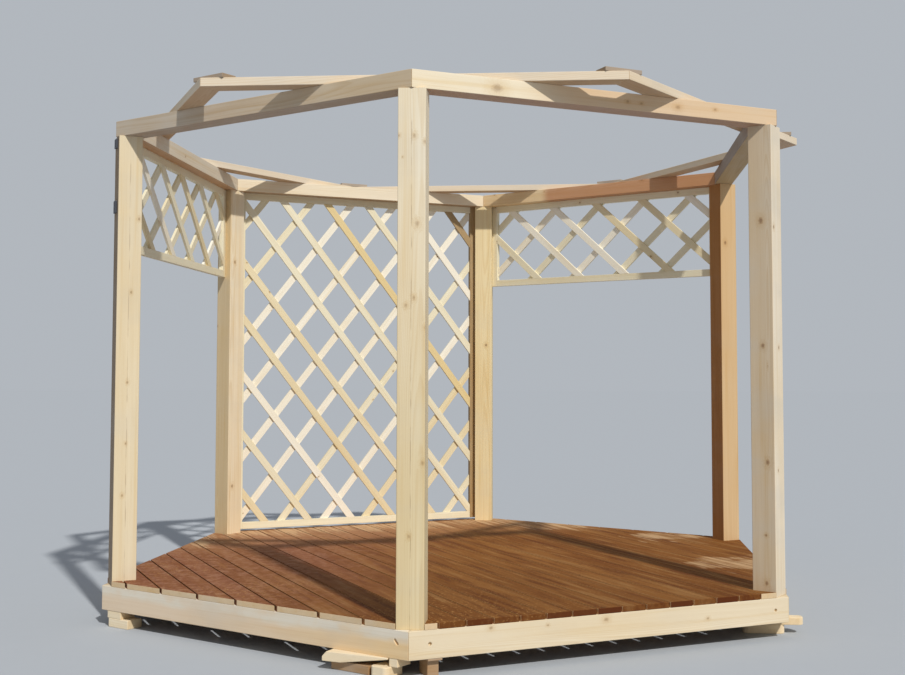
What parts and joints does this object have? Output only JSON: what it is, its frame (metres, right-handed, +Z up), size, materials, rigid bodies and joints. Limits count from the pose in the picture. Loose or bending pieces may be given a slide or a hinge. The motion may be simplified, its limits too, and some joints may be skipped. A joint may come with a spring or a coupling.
{
  "type": "hexagonal garden pergola",
  "caption": "Open hexagonal garden pergola of planed timber on a low boarded platform, with a mitred roof frame and lattice panels.",
  "frame": {"origin": "on level ground, under the middle of the hexagon", "axes": "+Z up; -Y towards the front corner, so that the corners lie on the Y axis; +X to the right seen from the front"},
  "size_m": [3.8676, 3.9276, 2.626],
  "materials": {
    "packing": "rough offcuts, weathered",
    "rim": "planed softwood, unfinished",
    "deck": "brown stained boards, worn",
    "posts": "planed laminated softwood, unfinished",
    "cleats": "small dark painted cleats",
    "beams": "planed softwood, unfinished",
    "lattice": "sawn softwood laths, unfinished"
  },
  "bodies": {
    "root": {"packing_lower": "packing", "packing_upper": "packing", "rim_right": "rim", "rim_back_right": "rim", "rim_back_left": "rim", "rim_left": "rim", "rim_front_left": "rim", "rim_front_right": "rim", "corner_blocks": "rim", "joists": "rim", "deck_boards": "deck", "post_front": "posts", "post_front_right": "posts", "post_back_right": "posts", "post_back": "posts", "post_back_left": "posts", "post_front_left": "posts", "post_cleats": "cleats", "beam_right": "beams", "beam_back_right": "beams", "beam_back_left": "beams", "beam_left": "beams", "beam_front_left": "beams", "beam_front_right": "beams", "ring_front": "beams", "ring_front_right": "beams", "ring_back_right": "beams", "ring_back": "beams", "ring_back_left": "beams", "ring_front_left": "beams", "tie_plates": "beams", "lattice_back_left": "lattice", "valance_left": "lattice", "valance_back_right": "lattice"}
  },
  "joints": []
}
